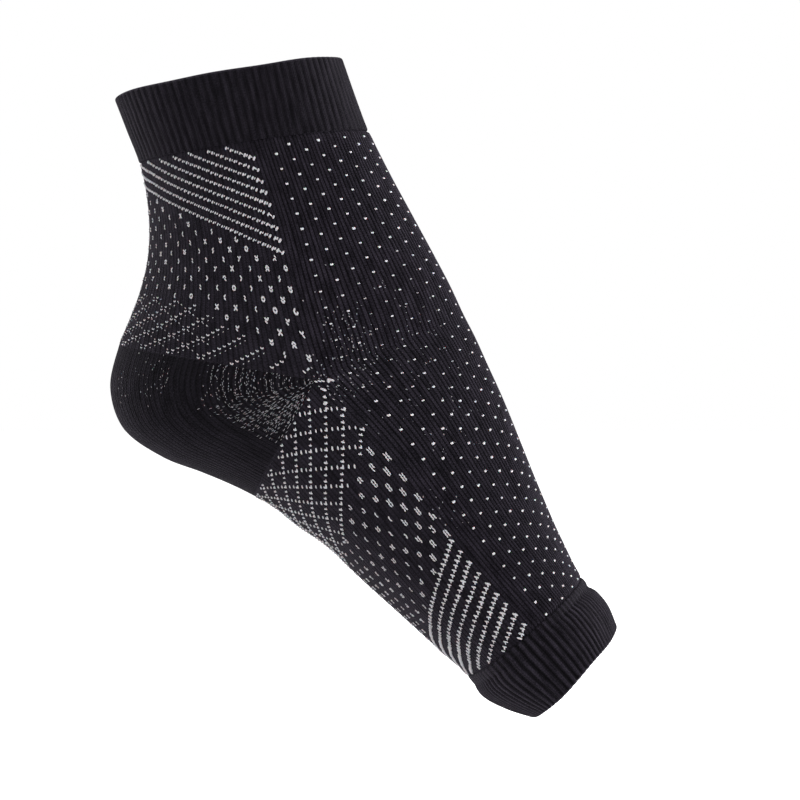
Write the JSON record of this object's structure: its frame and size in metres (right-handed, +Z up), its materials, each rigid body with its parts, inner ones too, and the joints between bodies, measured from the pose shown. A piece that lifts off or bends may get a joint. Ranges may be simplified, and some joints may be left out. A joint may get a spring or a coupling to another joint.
{
  "type": "open-toe compression sock",
  "caption": "Knitted open-toe compression sleeve for foot and ankle, worn form, with ribbed cuff, turned heel and ribbed toe band.",
  "frame": {"origin": "the ankle point inside the sleeve, in the middle plane, level with the place where the heel's short rows meet", "axes": "+Z up, +X towards the toes, +Y across the foot; the leg leans back from +Z and the foot points down from +X"},
  "size_m": [0.1817, 0.0896, 0.236],
  "materials": {
    "black_knit": "matt",
    "black_rib": "matt",
    "white_yarn": "matt"
  },
  "bodies": {
    "root": {"ankle_cuff": "black_rib", "sleeve": "black_knit", "heel_pocket": "black_knit", "toe_band": "black_rib"}
  },
  "joints": []
}
